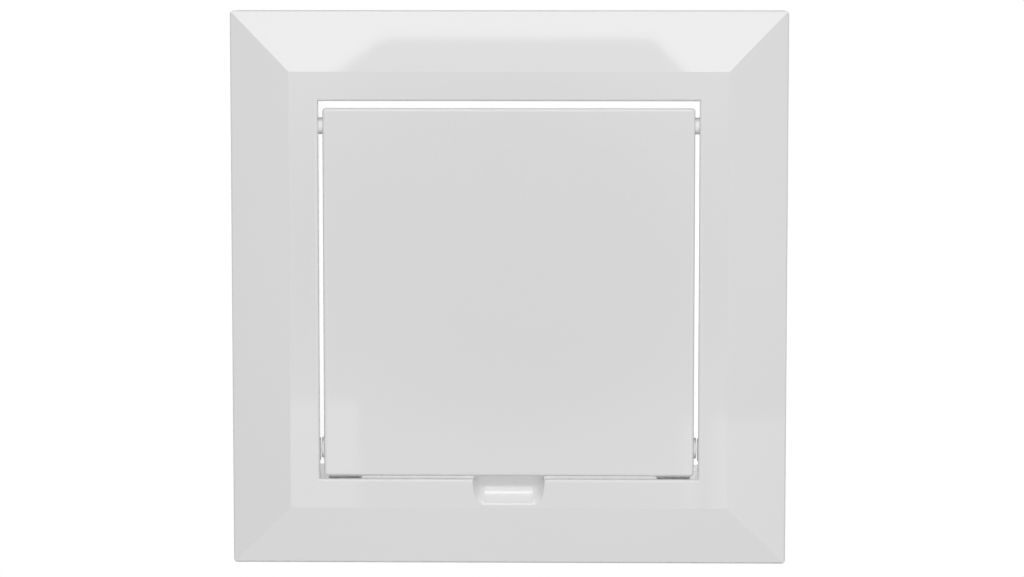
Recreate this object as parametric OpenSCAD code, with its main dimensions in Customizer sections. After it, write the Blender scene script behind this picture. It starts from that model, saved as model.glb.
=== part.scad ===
// Square access panel for a wall or ceiling. A moulded flange with four mitred slopes carries a
// collar that goes into the wall. The door swings out on two pins near its upper edge, rests on two
// stop lugs and snaps shut on two studs near its lower edge. A scoop in the flange lets a finger in.
// Every piece is drawn lying on its back, with x to the right, y up the panel and z out of the wall,
// where z = 0 is the wall's surface. upright() then stands it up, with its face towards -y.

/* [Flange] */
// Width and height of the square flange
flange_w = 200; // [196:1:260]
// Height of the flange's rim above the wall
rim_h = 3; // [2.6:0.1:5]
// Width of each sloping border
bevel_w = 21.5; // [16:0.5:22]
// Rise of the sloping border from the rim to the face
bevel_rise = 8; // [7:0.5:12]
// Wall thickness of the flange
flange_t = 2.2; // [1.6:0.1:2.4]
// Rounding of the flange's outer edge
rim_r = 1; // [0.4:0.1:1.6]
// Radius of the flange's corners, seen from the front
flange_corner_r = 1.5; // [0.5:0.1:4]
// Thickness of the gussets between flange and collar
gusset_t = 1.6; // [1:0.1:2.4]
// Distance from the middle of a side to its inner gussets
gusset_inner = 21; // [18:1:28]
// Distance from the middle of a side to its outer gussets
gusset_outer = 45; // [36:1:50]
// How far the gussets reach out from the collar
gusset_l = 20; // [8:1:22]

/* [Collar] */
// Clear width and height of the square opening
opening_w = 136; // [128:1:138]
// Rounding of the opening's front edge
lip_r = 1.2; // [0.4:0.1:1.3]
// Wall thickness of the collar
collar_t = 2; // [1.6:0.1:3]
// How far the collar reaches behind the wall's surface
collar_l = 25; // [24:1:50]
// Chamfer that leads the collar's back edge into the wall
collar_lead = 0.8; // [0.4:0.1:1.2]
// Height of the barb that runs round the collar
barb_h = 0.6; // [0.3:0.1:1]
// Length of the barb's ramp
barb_l = 3; // [2:0.5:4]
// Distance from the wall's surface to the barb
barb_depth = 18.4; // [17.8:0.1:18.7]
// Diameter of the screw holes in the collar's sides
screw_hole_d = 4.5; // [3:0.1:6]
// Distance between the two screw holes of one side
screw_pitch = 80; // [50:1:100]
// Distance from the wall's surface to the screw holes
screw_depth = 14.6; // [14.4:0.1:14.7]

/* [Door] */
// Gap between the door and each side of the opening
gap_side = 1.5; // [1.2:0.1:2.5]
// Gap between the door and the top of the opening
gap_top = 2.5; // [2.2:0.1:4]
// Gap between the door and the bottom of the opening
gap_bottom = 1; // [1:0.1:3]
// Thickness of the door's face plate
door_t = 2; // [1.6:0.1:2.6]
// Rounding of the face plate's front edge
door_edge_r = 1.2; // [0.4:0.1:1.2]
// Radius of the door's corners, seen from the front
door_corner_r = 1.3; // [1.3:0.1:4]
// Depth of the door's rim, from the face
door_rim_d = 6; // [5:0.1:8]
// Wall thickness of the door's rim
door_rim_t = 1.8; // [1.2:0.1:2.4]
// How far the rim stands back from the face plate's edge
door_rim_inset = 0.4; // [0.2:0.1:0.8]
// Height of the ribs behind the face plate
rib_h = 2.2; // [1:0.1:3]
// Thickness of the ribs behind the face plate
rib_t = 1.4; // [1:0.1:2]
// Distance of the ribs from the middle of the door
rib_offset = 30; // [24:1:45]
// Width of the recess behind the face plate's lower edge
pull_w = 30; // [26:1:40]
// Height of the recess behind the face plate's lower edge
pull_h = 7; // [5:0.5:9]

/* [Hinge] */
// Diameter of the hinge pins
pin_d = 6; // [4.5:0.1:6.2]
// Distance from the door's upper edge down to the hinge axis
pin_drop = 6.5; // [6.2:0.1:9]
// Distance from the door's face back to the hinge axis
pin_setback = 4.4; // [4.3:0.1:5]
// Radial play of the pins in the collar
pin_play = 0.06; // [0.02:0.01:0.1]
// Radial play of the pins and studs in the door
press_play = 0.06; // [0.05:0.01:0.1]
// Chamfer of the pins' ends
pin_chamfer = 0.6; // [0.3:0.1:1]
// Wall of the ears and bosses round the pins
hinge_wall = 2; // [1.4:0.1:2.2]
// Thickness of the door's ears
ear_t = 2.4; // [2:0.1:3.2]
// Length of the bosses outside the collar
boss_l = 3.5; // [2:0.1:5]
// How far the pins' tips stay inside the bosses
pin_tip_gap = 1; // [0.4:0.1:1.6]

/* [Snap] */
// Diameter of the studs' domes
stud_d = 7.6; // [6:0.1:8]
// Distance from the door's lower edge up to the studs
stud_rise = 9.6; // [8.6:0.1:14]
// Clearance between the studs' domes and the face plate
stud_gap = 0.2; // [0.1:0.05:0.5]
// Diameter of the studs' shanks
stud_shank_d = 4; // [3:0.1:5]
// How far the shanks stand out inside the door
stud_stub = 1.2; // [0.6:0.1:2]
// Height of the ridges that the studs pass
ridge_h = 0.3; // [0.2:0.05:0.5]
// Half the width of the ridges
ridge_half_w = 0.9; // [0.6:0.1:1.2]
// Length of the ridges
ridge_l = 8; // [4:0.5:12]
// Distance from the studs forward to the ridges
ridge_ahead = 3; // [2.8:0.1:3.6]
// Clearance between a stud and its ridge
ridge_play = 0.1; // [0.05:0.05:0.2]
// Length of the stop lugs
lug_l = 12.5; // [6:0.5:20]
// Distance from the sides of the opening to the stop lugs
lug_inset = 2.7; // [1:0.1:6]
// Height of the stop lugs
lug_h = 5; // [4:0.1:5.6]
// Thickness of the stop lugs
lug_t = 2.5; // [1.5:0.1:3.5]
// Clearance between the door's rim and the stop lugs
stop_play = 0.2; // [0.1:0.05:0.3]

/* [Finger scoop] */
// Width of the scoop
scoop_w = 25.6; // [22:0.2:28]
// How far the scoop reaches down from the opening
scoop_drop = 9.2; // [7:0.1:9.3]
// Radius of the scoop's round floor
scoop_r = 40; // [36:0.5:44]
// Slope of the scoop's floor at its lower edge, in degrees
scoop_slope = 40; // [38:1:42]
// Rounding of the scoop's two ends
scoop_end_r = 4.8; // [3:0.1:5]
// Width of the flare round the scoop's edge
scoop_edge = 0.2; // [0.2:0.1:0.6]
// How far the scoop's floor stands into the opening
ledge_l = 1; // [0.8:0.1:1.1]

/* [Hidden] */
$fn = 64;
moulded_white = [0.86, 0.86, 0.86];
pin_white = [0.82, 0.82, 0.81];
// Overrun of cuts past a face
over = 1;
left = -1;
right = 1;

// Flange and collar
half = flange_w / 2;
face_h = rim_h + bevel_rise;
slope = atan(bevel_rise / bevel_w);
open_half = opening_w / 2;
collar_half = open_half + collar_t;
mid_collar = open_half + collar_t / 2;
// Depth inside a wall at which an added rib or boss ends
bury = flange_t / 2;
gusset_gap = rim_h / 3;

// Door
door_w = opening_w - 2 * gap_side;
door_h = opening_w - gap_top - gap_bottom;
door_top = open_half - gap_top;
door_bottom = gap_bottom - open_half;
door_mid = (door_top + door_bottom) / 2;
plate_back = face_h - door_t;
rim_back = face_h - door_rim_d;
rim_w = door_w - 2 * door_rim_inset;
rim_tall = door_h - 2 * door_rim_inset;
rim_corner_r = door_corner_r - door_rim_inset;
ear_out = rim_w / 2;
ear_in = ear_out - ear_t;

// Hinge
axis_y = door_top - pin_drop;
axis_z = face_h - pin_setback;
hinge_d = pin_d + 2 * hinge_wall;
boss_end = collar_half + boss_l;
pin_l = boss_end - pin_tip_gap - ear_in;

// Snap
stud_y = door_bottom + stud_rise;
stud_z = plate_back - stud_gap - stud_d / 2;
stud_h = open_half - ridge_h - ridge_play - ear_out;
stud_ball_r = (pow(stud_d / 2, 2) + pow(stud_h, 2)) / (2 * stud_h);
stud_ear_d = stud_d + hinge_wall / 2;
ridge_ball_r = (pow(ridge_half_w, 2) + pow(ridge_h, 2)) / (2 * ridge_h);
lug_top = rim_back - stop_play;
// Share of a lug's height by which its inner end leans
lug_lean = 0.4;

// Finger scoop
scoop_back = scoop_r * sin(scoop_slope) - scoop_drop;
scoop_rise = scoop_r * cos(scoop_slope);
scoop_depth = sqrt(pow(scoop_r, 2) - pow(scoop_back, 2)) - scoop_rise;
flare_tilt = 30;
flare_r = (scoop_drop + scoop_edge + scoop_back) / sin(flare_tilt);

// Height of the surface that lies a cover's depth under a sloping border, u away from the middle
function slope_h(u, cover) = rim_h + (half - u) * tan(slope) - cover / cos(slope);

// Distance from the middle to the edge of the flat face, on the surface a cover's depth down
function crown_u(cover) = half - bevel_w - cover * tan(slope / 2);

// A closed outline from the points of its right half, listed from the bottom up
function both_halves(points) =
    concat(points, [for (i = [len(points) - 1 : -1 : 0]) [-points[i].x, points[i].y]]);

// Stands the panel up
module upright() {
    rotate([90, 0, 0]) children();
}

// The square form that has the given section both across and along
module crossed(length) {
    intersection() {
        rotate([90, 0, 90]) linear_extrude(length, center = true) children();
        rotate([90, 0, 0]) linear_extrude(length, center = true) children();
    }
}

// A rectangle with round corners, centred
module rounded_rect(w, h, r) {
    square([w - 2 * r, h], center = true);
    square([w, h - 2 * r], center = true);
    for (x = [-1, 1], y = [-1, 1]) {
        translate([x * (w / 2 - r), y * (h / 2 - r)]) circle(r);
    }
}

// A rectangular block whose edge has the given section all the way round. The section's x is the
// distance out from the centre of a corner of radius r, and its y is the height.
module edged_block(w, h, r, low, high) {
    x = w / 2 - r;
    y = h / 2 - r;
    translate([-x, -y, low]) cube([2 * x, 2 * y, high - low]);
    for (side = [[0, x, y], [90, y, x], [180, x, y], [270, y, x]]) {
        rotate([0, 0, side[0]]) translate([side[1], side[2], 0]) {
            rotate_extrude(angle = 90) children();
            rotate([90, 0, 0]) linear_extrude(2 * side[2]) children();
        }
    }
}

// Section of everything within the flange's outer surface
module flange_section() {
    round_h = rim_h - rim_r * (1 - sin(slope)) / cos(slope);
    polygon(both_halves([
        [half, 0],
        [half, round_h],
        [half - rim_r + rim_r * sin(slope), round_h + rim_r * cos(slope)],
        [half - bevel_w, face_h]
    ]));
    for (side = [-1, 1]) translate([side * (half - rim_r), round_h]) circle(rim_r);
}

// Section of everything a cover's depth under the flange's outer surface, from a height up
module cover_section(cover, low) {
    edge = half - cover;
    polygon(both_halves([
        [edge, low],
        [edge, slope_h(edge, cover)],
        [crown_u(cover), face_h - cover]
    ]));
}

// Section of the collar's outside, with a lead-in and the barb's ramp and step
module collar_section() {
    polygon(both_halves([
        [collar_half - collar_lead, -collar_l],
        [collar_half, collar_lead - collar_l],
        [collar_half, -barb_depth - barb_l],
        [collar_half + barb_h, -barb_depth],
        [collar_half, -barb_depth],
        [collar_half, face_h - bury]
    ]));
}

// Section of the opening, with its front edge rounded
module opening_section() {
    difference() {
        polygon(both_halves([
            [open_half, -collar_l - over],
            [open_half, face_h - lip_r],
            [open_half + lip_r, face_h - lip_r],
            [open_half + lip_r, face_h + over]
        ]));
        for (side = [-1, 1]) {
            translate([side * (open_half + lip_r), face_h - lip_r]) circle(lip_r);
        }
    }
}

// Gussets between the collar and the slopes, behind all four sides
module gussets() {
    reach = collar_half + gusset_l;
    for (turn = [0 : 90 : 270], at = [-gusset_outer, -gusset_inner, gusset_inner, gusset_outer]) {
        rotate([0, 0, turn]) translate([at, 0, 0]) rotate([90, 0, 90])
            linear_extrude(gusset_t, center = true) polygon([
                [mid_collar, gusset_gap],
                [reach, slope_h(reach, bury)],
                [crown_u(bury), face_h - bury],
                [mid_collar, face_h - bury]
            ]);
    }
}

// A roller with rounded ends that lies along the opening's lower edge, with its axis in front of the
// face by a rise, and sinks into the face
module roller(r, rise, half_l, end_r) {
    translate([0, scoop_back - open_half, face_h + rise]) rotate([0, 90, 0]) rotate_extrude()
        intersection() {
            translate([0, -half_l]) square([r, 2 * half_l]);
            rounded_rect(2 * r, 2 * half_l, end_r);
        }
}

// The scoop's hollow, grown on all sides by a thickness
module scoop_form(grow) {
    roller(scoop_r + grow, scoop_rise, scoop_w / 2 + grow, scoop_end_r + grow);
}

// The flare that opens the scoop's edge at the face
module scoop_flare() {
    end_r = scoop_end_r - 4 * scoop_edge;
    roller(flare_r, flare_r * cos(flare_tilt), scoop_w / 2 + scoop_edge, end_r);
}

// The block, standing into the opening, that the inner end of the scoop's floor is cut from
module scoop_ledge() {
    low = face_h - scoop_depth - flange_t;
    translate([-scoop_w / 2, -mid_collar, low])
        cube([scoop_w, collar_t / 2 + ledge_l, plate_back - door_t / 2 - low]);
}

// What the collar and the flange carry behind the face: hinge bosses and the scoop's shell
module carried_behind() {
    intersection() {
        union() {
            for (side = [left, right]) {
                translate([side * mid_collar, axis_y, axis_z]) rotate([0, side * 90, 0])
                    cylinder(d = hinge_d, h = boss_end - mid_collar);
            }
            intersection() {
                scoop_form(flange_t);
                translate([-half, -half, 0]) cube([flange_w, half - mid_collar, face_h]);
            }
        }
        crossed(flange_w) cover_section(bury, 0);
    }
}

// Ridges on the collar's sides that the studs snap past
module ridges() {
    for (side = [left, right]) {
        intersection() {
            translate([side * (open_half - ridge_h + ridge_ball_r), stud_y, stud_z + ridge_ahead])
                rotate([90, 0, 0]) cylinder(r = ridge_ball_r, h = ridge_l, center = true);
            translate([side * open_half, stud_y, stud_z])
                cube([collar_t, 2 * ridge_l, 2 * face_h], center = true);
        }
    }
}

// Stop lugs on the opening's lower wall, for the door's rim to close against
module stop_lugs() {
    outer = open_half - lug_inset;
    inner = outer - lug_l;
    for (side = [0, 1]) {
        mirror([side, 0, 0]) translate([0, 0, lug_top - lug_t]) linear_extrude(lug_t) polygon([
            [inner, -mid_collar],
            [outer, -mid_collar],
            [outer, lug_h - open_half],
            [inner + lug_lean * lug_h, lug_h - open_half]
        ]);
    }
}

// Holes in the collar's sides: the hinge pins' and the screws'
module side_holes() {
    for (side = [left, right]) {
        translate([side * (open_half - over), axis_y, axis_z]) rotate([0, side * 90, 0])
            cylinder(d = pin_d + 2 * pin_play, h = boss_end - open_half + 2 * over);
        for (at = [-screw_pitch / 2, screw_pitch / 2]) {
            translate([side * (open_half - over), at, -screw_depth]) rotate([0, side * 90, 0])
                cylinder(d = screw_hole_d, h = collar_t + 2 * over);
        }
    }
}

// Flange, collar, scoop and stops, in one moulding
module frame() {
    color(moulded_white) upright() {
        difference() {
            union() {
                intersection() {
                    difference() {
                        crossed(flange_w) flange_section();
                        crossed(flange_w) cover_section(flange_t, -over);
                    }
                    linear_extrude(face_h + over) rounded_rect(flange_w, flange_w, flange_corner_r);
                }
                crossed(2 * collar_half + 2 * barb_h) collar_section();
                gussets();
                carried_behind();
            }
            difference() {
                crossed(flange_w) opening_section();
                scoop_ledge();
            }
            scoop_form(0);
            scoop_flare();
            side_holes();
        }
        ridges();
        stop_lugs();
    }
}

// Outline of the door's rim, which steps back round the pull recess
module rim_outline() {
    wall = 2 * door_rim_t;
    recess_top = door_bottom + pull_h;
    difference() {
        translate([0, door_mid]) rounded_rect(rim_w, rim_tall, rim_corner_r);
        difference() {
            translate([0, door_mid]) square([rim_w - wall, rim_tall - wall], center = true);
            translate([-pull_w / 2 - door_rim_t, door_bottom])
                square([pull_w + wall, pull_h + door_rim_t]);
        }
        translate([-pull_w / 2, recess_top - door_h]) square([pull_w, door_h]);
    }
}

// Ribs behind the face plate, two each way
module door_ribs() {
    translate([0, door_mid, plate_back - rib_h]) linear_extrude(rib_h + door_t / 2) {
        for (at = [-rib_offset, rib_offset]) {
            translate([at, 0]) square([rib_t, rim_tall - door_rim_t], center = true);
            translate([0, at]) square([rim_w - door_rim_t, rib_t], center = true);
        }
    }
}

// An ear on the door's side rim that holds a pin or a stud
module ear(side, y, z, d) {
    translate([side * (ear_out + ear_in) / 2, 0, 0]) rotate([90, 0, 90])
        linear_extrude(ear_t, center = true) {
            intersection() {
                translate([y, z]) circle(d = d);
                translate([y - d / 2, z - d]) square([d, d + plate_back + door_t / 2 - z]);
            }
            translate([y - d / 2, z]) square([d, plate_back + door_t / 2 - z]);
        }
}

// Face plate, rim, ears and ribs, in one moulding
module door() {
    color(moulded_white) upright() difference() {
        union() {
            translate([0, door_mid, 0])
                edged_block(door_w, door_h, door_corner_r, plate_back, face_h) {
                    intersection() {
                        translate([0, plate_back]) square([door_corner_r, door_t]);
                        union() {
                            translate([0, plate_back]) square([door_corner_r, door_t - door_edge_r]);
                            translate([0, plate_back])
                                square([door_corner_r - door_edge_r, door_t]);
                            translate([door_corner_r - door_edge_r, face_h - door_edge_r])
                                circle(door_edge_r);
                        }
                    }
                }
            translate([0, 0, rim_back]) linear_extrude(door_rim_d - door_t / 2) rim_outline();
            door_ribs();
            for (side = [left, right]) {
                ear(side, axis_y, axis_z, hinge_d);
                ear(side, stud_y, stud_z, stud_ear_d);
            }
        }
        for (side = [left, right]) {
            translate([side * (ear_in - over), axis_y, axis_z]) rotate([0, side * 90, 0])
                cylinder(d = pin_d + 2 * press_play, h = ear_t + 2 * over);
            translate([side * (ear_in - over), stud_y, stud_z]) rotate([0, side * 90, 0])
                cylinder(d = stud_shank_d + 2 * press_play, h = ear_t + 2 * over);
        }
    }
}

// A plain pin, pressed into the door's ear and turning in the collar
module hinge_pin(side) {
    r = pin_d / 2;
    color(pin_white) upright() translate([side * ear_in, axis_y, axis_z]) rotate([0, side * 90, 0])
        rotate_extrude() polygon([
            [0, 0],
            [r - pin_chamfer, 0],
            [r, pin_chamfer],
            [r, pin_l - pin_chamfer],
            [r - pin_chamfer, pin_l],
            [0, pin_l]
        ]);
}

// A domed stud, pressed into the door's ear from outside
module snap_stud(side) {
    shank_r = stud_shank_d / 2;
    shank_end = -ear_t - stud_stub;
    chamfer = stud_stub / 2;
    color(pin_white) upright() translate([side * ear_out, stud_y, stud_z]) rotate([0, side * 90, 0])
        rotate_extrude() {
            polygon([
                [0, shank_end],
                [shank_r - chamfer, shank_end],
                [shank_r, shank_end + chamfer],
                [shank_r, 0],
                [0, 0]
            ]);
            intersection() {
                translate([0, stud_h - stud_ball_r]) circle(stud_ball_r);
                square([stud_d / 2, stud_h]);
            }
        }
}

frame();
door();
hinge_pin(left);  // hinge_pin_left
hinge_pin(right);  // hinge_pin_right
snap_stud(left);  // snap_stud_left
snap_stud(right);  // snap_stud_right
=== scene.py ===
import math

import bpy
import numpy as np
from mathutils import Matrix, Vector


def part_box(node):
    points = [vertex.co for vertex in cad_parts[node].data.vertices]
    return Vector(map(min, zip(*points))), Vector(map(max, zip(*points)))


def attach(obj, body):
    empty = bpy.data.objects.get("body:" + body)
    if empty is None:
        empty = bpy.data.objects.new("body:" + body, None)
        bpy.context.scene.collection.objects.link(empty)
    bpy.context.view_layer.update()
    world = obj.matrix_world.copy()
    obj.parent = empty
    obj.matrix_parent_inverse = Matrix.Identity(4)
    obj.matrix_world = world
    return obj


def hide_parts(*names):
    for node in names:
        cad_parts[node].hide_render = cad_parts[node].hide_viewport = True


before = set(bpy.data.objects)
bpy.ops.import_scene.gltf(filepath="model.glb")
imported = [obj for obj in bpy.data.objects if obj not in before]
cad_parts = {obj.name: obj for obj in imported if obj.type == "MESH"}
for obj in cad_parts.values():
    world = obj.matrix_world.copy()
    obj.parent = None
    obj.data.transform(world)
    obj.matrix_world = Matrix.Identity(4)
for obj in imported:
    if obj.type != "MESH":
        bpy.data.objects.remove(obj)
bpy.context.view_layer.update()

MM = 0.001

abs_white = "#DDDDDD"
abs_shade = "#DADADA"
abs_ior = 1.53
polished = 0.038
eroded = 0.34
eroded_starts, eroded_full = 0.1, 0.6
flow_size = 70 * MM
flow_detail = 3.0
ripple_size = 9 * MM
ripple_height = 0.0016 * MM
speck_grey = "#A6A6A4"
speck_spacing = 11 * MM
speck_radius = 0.16 * MM
speck_share = 0.14
spark_size = 0.5 * MM
spark_height = 0.012 * MM
frame_start = (0.0, 0.0, 0.0)

# A Mix node's sockets by number: its share, the two colours that go in, and the one that comes out.
mix_share = 0
colour_first, colour_second = 6, 7
colour_mixed = 2


def linear(hex_colour):
    """An sRGB hex colour as linear red, green, blue and alpha, by the sRGB curve."""
    parts = np.array([int(hex_colour[i:i + 2], 16) for i in (1, 3, 5)]) / 255
    low = parts / 12.92
    high = ((parts + 0.055) / 1.055) ** 2.4
    return (*np.where(parts <= 0.04045, low, high).tolist(), 1.0)


def add(tree, kind, inputs=None, **settings):
    """Adds a node, sets its properties, and fills or links its inputs by name or number."""
    node = tree.nodes.new(kind)
    for name, value in settings.items():
        setattr(node, name, value)
    for key, value in (inputs or {}).items():
        if isinstance(value, bpy.types.NodeSocket):
            tree.links.new(value, node.inputs[key])
        else:
            node.inputs[key].default_value = value
    return node


def new_material(name):
    """An empty node material and its tree."""
    material = bpy.data.materials.new(name)
    material.use_nodes = True
    material.node_tree.nodes.clear()
    return material, material.node_tree


def moulded_abs(name, start):
    """Glossy injection-moulded ABS: cloudy flow marks, stray specks, a faint ripple in the shine.

    Faces that look out of the front half of the mould are polished. Those that look back (+y) came
    off the eroded half, so they are rougher and carry its grit.
    """
    material, tree = new_material(name)
    place = add(tree, "ShaderNodeTexCoord")
    spot = add(tree, "ShaderNodeMapping", {"Vector": place.outputs["Object"], "Location": start})
    point = spot.outputs["Vector"]

    # Flow marks: the melt cools in clouds a few centimetres wide, barely a shade apart.
    flow = add(tree, "ShaderNodeTexNoise", {
        "Vector": point, "Scale": 1 / flow_size, "Detail": flow_detail
    })
    body = add(tree, "ShaderNodeMix", {
        mix_share: flow.outputs["Fac"], colour_first: linear(abs_shade), colour_second: linear(abs_white)
    }, data_type="RGBA")

    # Specks: burnt grains in the melt, in a small share of the cells of a coarse net.
    cells = add(tree, "ShaderNodeTexVoronoi", {"Vector": point, "Scale": 1 / speck_spacing})
    chance = add(tree, "ShaderNodeSeparateColor", {0: cells.outputs["Color"]})
    picked = add(tree, "ShaderNodeMath", {
        0: chance.outputs["Red"], 1: speck_share
    }, operation="LESS_THAN")
    near = add(tree, "ShaderNodeMath", {
        0: cells.outputs["Distance"], 1: speck_radius / speck_spacing
    }, operation="LESS_THAN")
    speck = add(tree, "ShaderNodeMath", {0: picked.outputs[0], 1: near.outputs[0]}, operation="MULTIPLY")
    colour = add(tree, "ShaderNodeMix", {
        mix_share: speck.outputs[0], colour_first: body.outputs[colour_mixed],
        colour_second: linear(speck_grey)
    }, data_type="RGBA")

    # Which half of the mould a face came from: 0 at the polished front, 1 at the eroded back.
    facing = add(tree, "ShaderNodeSeparateXYZ", {0: place.outputs["Normal"]})
    back = add(tree, "ShaderNodeMapRange", {
        "Value": facing.outputs["Y"], "From Min": eroded_starts, "From Max": eroded_full
    })
    rough = add(tree, "ShaderNodeMapRange", {
        "Value": back.outputs[0], "To Min": polished, "To Max": eroded
    })

    # Ripple of the polished face, and the grit of the eroded one, drawn coarser than real to show.
    ripple = add(tree, "ShaderNodeTexNoise", {"Vector": point, "Scale": 1 / ripple_size})
    wave = add(tree, "ShaderNodeBump", {"Height": ripple.outputs["Fac"], "Distance": ripple_height})
    spark = add(tree, "ShaderNodeTexNoise", {"Vector": point, "Scale": 1 / spark_size})
    grit = add(tree, "ShaderNodeBump", {
        "Height": spark.outputs["Fac"], "Strength": back.outputs[0], "Distance": spark_height,
        "Normal": wave.outputs["Normal"]
    })
    shader = add(tree, "ShaderNodeBsdfPrincipled", {
        "Base Color": colour.outputs[colour_mixed], "Roughness": rough.outputs[0], "IOR": abs_ior,
        "Normal": grit.outputs["Normal"]
    })
    add(tree, "ShaderNodeOutputMaterial", {"Surface": shader.outputs[0]})
    return material


def dress(node, material):
    """Gives every slot of a CAD node one material."""
    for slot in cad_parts[node].material_slots:
        slot.material = material


dress("frame", moulded_abs("moulded_abs_frame", frame_start))

# Door: a face plate with a rim, ribs and ears behind it, moulded from the same white ABS.
# It hangs on two pins near its upper edge and lies flush with the flange. Its flow marks and
# specks start elsewhere in the pattern, as on a second moulding.
door_start = (0.31, 0.17, 0.23)
dress("door", moulded_abs("moulded_abs_door", door_start))

# Hinge pins: plain pins of white acetal, moulded apart and pressed into the door's upper ears.
# Acetal is waxy and slippery, so it stays satin where the ABS shines.
acetal_white = "#EAEAEA"
acetal_shade = "#E3E3E2"
acetal_ior = 1.48
acetal_rough = 0.3
acetal_cloud = 3 * MM
acetal_grain = 0.4 * MM
acetal_grain_height = 0.004 * MM


def moulded_acetal(name):
    """Satin moulded acetal: a waxy white with small clouds, and a grain drawn coarse enough to show."""
    material, tree = new_material(name)
    place = add(tree, "ShaderNodeTexCoord")
    point = place.outputs["Object"]
    cloud = add(tree, "ShaderNodeTexNoise", {"Vector": point, "Scale": 1 / acetal_cloud})
    colour = add(tree, "ShaderNodeMix", {
        mix_share: cloud.outputs["Fac"], colour_first: linear(acetal_shade),
        colour_second: linear(acetal_white)
    }, data_type="RGBA")
    grain = add(tree, "ShaderNodeTexNoise", {"Vector": point, "Scale": 1 / acetal_grain})
    bump = add(tree, "ShaderNodeBump", {
        "Height": grain.outputs["Fac"], "Distance": acetal_grain_height
    })
    shader = add(tree, "ShaderNodeBsdfPrincipled", {
        "Base Color": colour.outputs[colour_mixed], "Roughness": acetal_rough, "IOR": acetal_ior,
        "Normal": bump.outputs["Normal"]
    })
    add(tree, "ShaderNodeOutputMaterial", {"Surface": shader.outputs[0]})
    return material


acetal = moulded_acetal("moulded_acetal")
dress("hinge_pin_left", acetal)
dress("hinge_pin_right", acetal)

# Snap studs: two buttons of the same acetal, on shanks pressed into the door's lower ears.
# Each has straight sides, a rounded edge and a slightly crowned end that passes the collar's ridge.
stud_head = 1.5 * MM
stud_edge = 0.45 * MM
stud_crown = 0.1 * MM
stud_shank_radius = 2.0 * MM
stud_chamfer = 0.6 * MM
stud_edge_steps = 9
stud_crown_steps = 6
stud_spokes = 96
stud_sharp_angle = math.radians(35)


def turned_stud(name, node, outward):
    """A button on a shank: radius against depth below its end, carried round an axis along x.

    The edge is a quarter circle, and the end's depth grows with the square of the radius.
    """
    low, high = np.array(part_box(node))
    axis_y, axis_z = (low[1:] + high[1:]) / 2
    head_radius = (high[1] - low[1]) / 2
    length = high[0] - low[0]
    tip = high[0] if outward > 0 else low[0]

    # The profile, from the shank's end to the rings of the crowned end.
    turn = np.linspace(0, math.pi / 2, stud_edge_steps)
    share = np.linspace(1, 0, stud_crown_steps, endpoint=False)[1:]
    end_radius = head_radius - stud_edge
    radius = np.concatenate([
        [stud_shank_radius - stud_chamfer, stud_shank_radius, stud_shank_radius, head_radius],
        end_radius + stud_edge * np.cos(turn), end_radius * share
    ])
    depth = np.concatenate([
        [length, length - stud_chamfer, stud_head, stud_head],
        stud_crown + stud_edge * (1 - np.sin(turn)), stud_crown * share ** 2
    ])

    # One ring of points for each point of the profile, and one point in the middle of each end.
    angle = outward * np.arange(stud_spokes) / stud_spokes * math.tau
    rings = np.stack([
        np.broadcast_to((tip - outward * depth)[:, None], (len(depth), stud_spokes)),
        axis_y + radius[:, None] * np.cos(angle), axis_z + radius[:, None] * np.sin(angle)
    ], axis=-1).reshape(-1, 3)
    ends = [[tip - outward * length, axis_y, axis_z], [tip, axis_y, axis_z]]

    # Bands of four-sided faces between the rings, closed by a fan at each end.
    spoke = np.arange(stud_spokes)
    following = (spoke + 1) % stud_spokes
    inner = stud_spokes * np.arange(len(depth) - 1)[:, None]
    outer = inner + stud_spokes
    sides = np.stack([inner + spoke, inner + following, outer + following, outer + spoke], axis=-1)
    shank_middle = np.full(stud_spokes, len(rings))
    tip_middle = shank_middle + 1
    last = len(rings) - stud_spokes
    back = np.stack([shank_middle, following, spoke], axis=-1)
    front = np.stack([last + spoke, last + following, tip_middle], axis=-1)
    faces = back.tolist() + sides.reshape(-1, 4).tolist() + front.tolist()

    mesh = bpy.data.meshes.new(name)
    mesh.from_pydata(rings.tolist() + ends, [], faces)
    mesh.shade_smooth()
    mesh.set_sharp_from_angle(angle=stud_sharp_angle)
    mesh.materials.append(acetal)
    stud = bpy.data.objects.new(name, mesh)
    bpy.context.scene.collection.objects.link(stud)
    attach(stud, "door")
    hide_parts(node)


turned_stud("stud_button_left", "snap_stud_left", -1)
turned_stud("stud_button_right", "snap_stud_right", 1)

# Floor: a round table top some way below the panel, painted pale and matt.
# It catches the panel's soft shadow and stays out of the front view.
floor_depth = -0.25
floor_radius = 0.75
floor_rings = 12
floor_spokes = 96
floor_white = "#F2F2F1"
floor_shade = "#EEEEED"
floor_rough = 0.8
floor_cloud = 90 * MM


def disc(radius, height, rings, spokes):
    """A flat disc: each point lies at a share of the radius and an angle round the middle."""
    share, angle = np.meshgrid(
        np.arange(1, rings + 1) / rings, np.arange(spokes) / spokes * math.tau, indexing="ij"
    )
    across = np.stack([
        radius * share * np.cos(angle), radius * share * np.sin(angle), np.full(share.shape, height)
    ], axis=-1).reshape(-1, 3)
    points = np.vstack([[[0.0, 0.0, height]], across])
    spoke = np.arange(spokes)
    following = (spoke + 1) % spokes
    middle = np.stack([np.zeros(spokes, int), 1 + spoke, 1 + following], axis=-1)
    inner = 1 + spokes * np.arange(rings - 1)[:, None]
    outer = inner + spokes
    bands = np.stack([inner + spoke, outer + spoke, outer + following, inner + following], axis=-1)
    mesh = bpy.data.meshes.new("floor")
    mesh.from_pydata(points.tolist(), [], middle.tolist() + bands.reshape(-1, 4).tolist())
    return mesh


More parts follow.
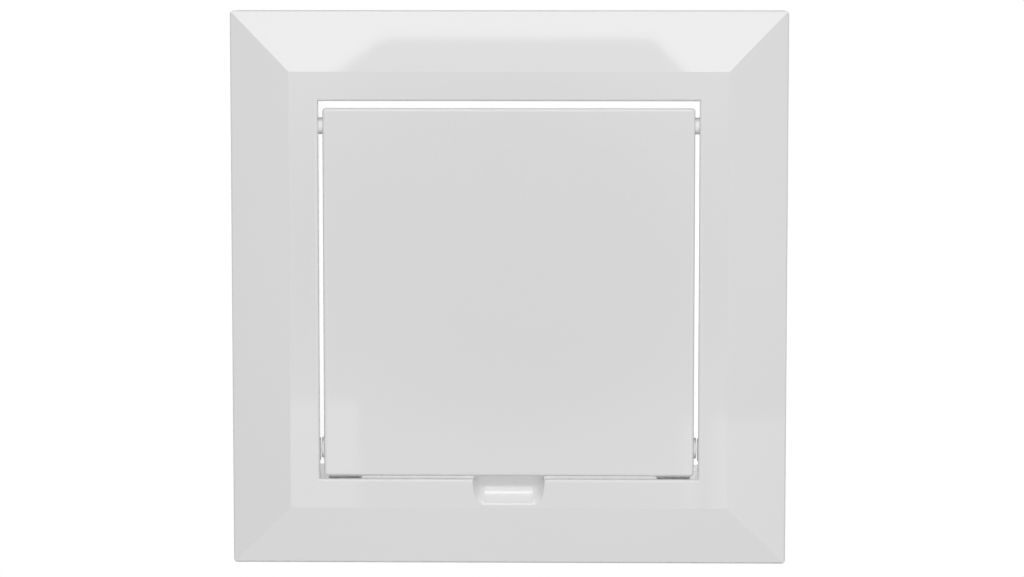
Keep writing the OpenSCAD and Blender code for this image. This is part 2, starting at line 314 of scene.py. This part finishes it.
floor = bpy.data.objects.new("floor", disc(floor_radius, floor_depth, floor_rings, floor_spokes))
bpy.context.scene.collection.objects.link(floor)
paint, tree = new_material("matt_white_paint")
place = add(tree, "ShaderNodeTexCoord")
cloud = add(tree, "ShaderNodeTexNoise", {"Vector": place.outputs["Object"], "Scale": 1 / floor_cloud})
colour = add(tree, "ShaderNodeMix", {
    mix_share: cloud.outputs["Fac"], colour_first: linear(floor_shade), colour_second: linear(floor_white)
}, data_type="RGBA")
shader = add(tree, "ShaderNodeBsdfPrincipled", {
    "Base Color": colour.outputs[colour_mixed], "Roughness": floor_rough
})
add(tree, "ShaderNodeOutputMaterial", {"Surface": shader.outputs[0]})
floor.data.materials.append(paint)
floor.visible_glossy = False
floor.visible_diffuse = False

# Light tent: white cloth all round the panel, a shade brighter on the right and above, and brighter
# still behind it. In the gloss it has a white backdrop straight behind, is dim round that and far
# below, and is dark at the mouth where the camera looks in.
tent_white = "#FFFFFF"
tent_level = 0.465
tent_right = 0.05
tent_up = 0.27
tent_back = 0.95
tent_back_starts, tent_back_full = 0.0, 0.5
cloth_level = 1.0
cloth_ends = 0.3
cloth_below = 0.3
cloth_below_starts, cloth_below_full = -0.5, -0.9
cloth_back = 0.25
cloth_back_starts, cloth_back_full = -0.25, 0.35
backdrop_level = 1.3
backdrop_starts, backdrop_full = 0.93, 0.99
mouth_place = (-0.0192, -1.0, -0.0925)
mouth_size = (0.1050, 1.0, 0.0750)
mouth_depth = -0.92
mouth_edge, mouth_heart = 0.05, 0.65
seen_level = 1.0

# A Mix node's sockets by number where it mixes two plain levels.
level_first, level_second = 2, 3

world = bpy.data.worlds.new("light_tent")
world.use_nodes = True
bpy.context.scene.world = world
tree = world.node_tree
tree.nodes.clear()
place = add(tree, "ShaderNodeTexCoord")
along = add(tree, "ShaderNodeSeparateXYZ", {0: place.outputs["Generated"]})

# The light on matt surfaces rises to the right and upwards, and goes over to its level behind.
rightwards = add(tree, "ShaderNodeMath", {
    0: along.outputs["X"], 1: tent_right, 2: tent_level
}, operation="MULTIPLY_ADD")
upwards = add(tree, "ShaderNodeMath", {
    0: along.outputs["Z"], 1: tent_up, 2: rightwards.outputs[0]
}, operation="MULTIPLY_ADD")
behind = add(tree, "ShaderNodeMapRange", {
    "Value": along.outputs["Y"], "From Min": tent_back_starts, "From Max": tent_back_full
})
light = add(tree, "ShaderNodeMix", {
    mix_share: behind.outputs[0], level_first: upwards.outputs[0], level_second: tent_back
})

# The cloth that the gloss mirrors brightens towards its top and bottom, and has the dark mouth.
height = add(tree, "ShaderNodeMath", {0: along.outputs["Z"], 1: along.outputs["Z"]}, operation="MULTIPLY")
brightened = add(tree, "ShaderNodeMath", {
    0: height.outputs[0], 1: cloth_ends, 2: cloth_level
}, operation="MULTIPLY_ADD")
from_mouth = add(tree, "ShaderNodeVectorMath", {
    0: place.outputs["Generated"], 1: mouth_place
}, operation="SUBTRACT")
mouth = add(tree, "ShaderNodeVectorMath", {0: from_mouth.outputs[0], 1: mouth_size}, operation="DIVIDE")
inside = add(tree, "ShaderNodeTexGradient", {0: mouth.outputs[0]}, gradient_type="SPHERICAL")
dark = add(tree, "ShaderNodeMapRange", {
    "Value": inside.outputs["Fac"], "From Min": mouth_edge, "From Max": mouth_heart
}, interpolation_type="SMOOTHSTEP")
shine = add(tree, "ShaderNodeMath", {
    0: dark.outputs[0], 1: mouth_depth, 2: brightened.outputs[0]
}, operation="MULTIPLY_ADD")

# Three parts of that cloth have a level of their own: far below, round behind, and the backdrop.
for axis, starts, full, level in (
    ("Z", cloth_below_starts, cloth_below_full, cloth_below),
    ("Y", cloth_back_starts, cloth_back_full, cloth_back),
    ("Y", backdrop_starts, backdrop_full, backdrop_level)
):
    part = add(tree, "ShaderNodeMapRange", {
        "Value": along.outputs[axis], "From Min": starts, "From Max": full
    })
    shine = add(tree, "ShaderNodeMix", {
        mix_share: part.outputs[0], level_first: shine.outputs[0], level_second: level
    })

# Matt surfaces take the light, gloss takes the cloth it mirrors, and the camera sees plain white.
ray = add(tree, "ShaderNodeLightPath")
mirrored = add(tree, "ShaderNodeMath", {
    0: ray.outputs["Is Glossy Ray"], 1: ray.outputs["Is Transmission Ray"]
}, operation="MAXIMUM")
cloth = add(tree, "ShaderNodeMix", {
    mix_share: mirrored.outputs[0], level_first: light.outputs[0], level_second: shine.outputs[0]
})
seen = add(tree, "ShaderNodeMix", {
    mix_share: ray.outputs["Is Camera Ray"], level_first: cloth.outputs[0], level_second: seen_level
})
tent = add(tree, "ShaderNodeBackground", {"Color": linear(tent_white), "Strength": seen.outputs[0]})
add(tree, "ShaderNodeOutputWorld", {"Surface": tent.outputs[0]})

# Softbox: one bright sheet of cloth above and in front of the panel, tilted to face it, with a notch
# in its lower edge that a dimmer sheet fills. It whitens the upper slope, and the notch leaves that
# slope's darker middle.
softbox_front, softbox_height = -0.8, 0.7265
softbox_lean, softbox_rise = 0.67, 0.742
softbox_half_w = 0.30
softbox_low = -0.13
softbox_high = 0.35
softbox_level = 3.0
softbox_faces = [(0, 9, 8, 1), (1, 8, 7, 4, 3, 2), (7, 6, 5, 4)]
notch_left, notch_right = -0.1005, 0.0710
notch_slant_left, notch_slant_right = 1.35, 0.95
notch_level = 0.27
notch_faces = [(9, 6, 7, 8)]
one_sheet = [(0, 1, 2, 3)]


def glowing(name, points, strength, faces=one_sheet):
    """A stage lamp: an even sheet of lit cloth that the camera itself doesn't see."""
    mesh = bpy.data.meshes.new(name)
    mesh.from_pydata(points, [], faces)
    lamp = bpy.data.objects.new(name, mesh)
    bpy.context.scene.collection.objects.link(lamp)
    material, nodes = new_material("lit_cloth_" + name)
    emission = add(nodes, "ShaderNodeEmission", {"Strength": strength})
    add(nodes, "ShaderNodeOutputMaterial", {"Surface": emission.outputs[0]})
    mesh.materials.append(material)
    lamp.visible_camera = False
    return lamp


def softbox_points():
    """A rectangle with a notch whose sides lean together, drawn across and up a leaning plane."""
    outline = np.array([
        (-softbox_half_w, softbox_low), (-softbox_half_w, 0), (-softbox_half_w, softbox_high),
        (softbox_half_w, softbox_high), (softbox_half_w, 0), (softbox_half_w, softbox_low),
        (notch_right - softbox_low * notch_slant_right, softbox_low), (notch_right, 0), (notch_left, 0),
        (notch_left + softbox_low * notch_slant_left, softbox_low)
    ])
    across, up = outline.T
    forward = softbox_front + up * softbox_lean
    height = softbox_height + up * softbox_rise
    return np.stack([across, forward, height], axis=-1)


corners = softbox_points().tolist()
glowing("softbox", corners, softbox_level, softbox_faces)
notch = glowing("softbox_notch", corners, notch_level, notch_faces)
notch.visible_diffuse = False

# Fall-off: strips of cloth hung before the softbox and above it, which only show in the gloss.
# They give the scoop's floor its one bright line, and let it fade towards its front edge.
strip_gap = 0.004
for name, strip_low, strip_high, strip_level in (
    ("strip_hot", 0.205, 0.257, 6.3),
    ("strip_2", 0.285, 0.344, 2.2),
    ("strip_3", 0.344, 0.400, 1.2),
    ("strip_4", 0.400, 0.560, 0.2)
):
    corners = [
        (side * softbox_half_w, softbox_front + up * softbox_lean + strip_gap * softbox_rise,
         softbox_height + up * softbox_rise - strip_gap * softbox_lean)
        for side, up in ((-1, strip_low), (1, strip_low), (1, strip_high), (-1, strip_high))
    ]
    strip = glowing(name, corners, strip_level)
    strip.visible_diffuse = False
    strip.visible_shadow = False

# Flag: a strip of dark cloth standing behind the upper rim, which only shows in the gloss.
# It keeps the backdrop out of that rim, so the panel's upper edge stays drawn against the white.
flag_half_w = 0.10
flag_back = 0.020
flag_low, flag_high = 0.1002, 0.1200
flag_level = 0.2
corners = [
    (-flag_half_w, flag_back, flag_low), (flag_half_w, flag_back, flag_low),
    (flag_half_w, flag_back, flag_high), (-flag_half_w, flag_back, flag_high)
]
flag = glowing("flag", corners, flag_level)
flag.visible_diffuse = False
flag.visible_shadow = False

# Low cards: sheets of white card standing low in front, to the left and right of the camera.
# They only show in the gloss, as the pale patches in the panel's two lower corners.
card_front = -0.8
card_low = -0.60
card_level = 1.65
for name, card_left, card_right, left_top, right_top in (
    ("card_left", -0.260, -0.1029, -0.1466, -0.1466),
    ("card_mid", 0.0845, 0.0919, -0.1547, -0.1547),
    ("card_right", 0.1017, 1.200, -0.1547, -0.2207)
):
    corners = [
        (card_left, card_front, card_low), (card_right, card_front, card_low),
        (card_right, card_front, right_top), (card_left, card_front, left_top)
    ]
    card = glowing(name, corners, card_level)
    card.visible_diffuse = False

# Card below: one more sheet of white card, lying flat below the panel and in front of it.
# It only shows in the gloss of the lower slope, which it lifts to the tone of the face.
under_half_w = 0.40
under_near, under_far = -0.16, -0.42
under_height = -0.40
under_level = 2.75
corners = [
    (-under_half_w, under_far, under_height), (under_half_w, under_far, under_height),
    (under_half_w, under_near, under_height), (-under_half_w, under_near, under_height)
]
card_under = glowing("card_under", corners, under_level)
card_under.visible_diffuse = False

# Flash: a square softbox just behind the camera, with most of it below the lens.
# It lights whatever the camera looks into, so narrow gaps stay open and steep edges fall off.
flash_x, flash_y, flash_z = 0.02, -1.33, 0.03
flash_half = 0.13
flash_level = 35
corners = [
    (flash_x + across * flash_half, flash_y, flash_z + up * flash_half)
    for across, up in ((-1, -1), (1, -1), (1, 1), (-1, 1))
]
flash = glowing("flash", corners, flash_level)
flash.visible_glossy = False

# Camera: a little above and to the right of the panel's middle, with a long lens.
# It stands far enough off to flatten the panel. Its lens and sensor are in millimetres.
camera_place = Vector((0.0264, -1.3159, 0.1377))
camera_aim = Vector((0.0012, -0.0110, 0.0010))
camera_sensor = 36.0
camera_lens = 128.9
camera_data = bpy.data.cameras.new("camera")
camera_data.sensor_fit = "HORIZONTAL"
camera_data.sensor_width = camera_sensor
camera_data.lens = camera_lens
camera = bpy.data.objects.new("camera", camera_data)
camera.location = camera_place
camera.rotation_mode = "QUATERNION"
camera.rotation_quaternion = (camera_aim - camera_place).to_track_quat("-Z", "Y")
bpy.context.scene.collection.objects.link(camera)
bpy.context.scene.camera = camera
bpy.context.scene.view_settings.view_transform = "Standard"

# Brings the scene up to date at the end.
bpy.context.view_layer.update()
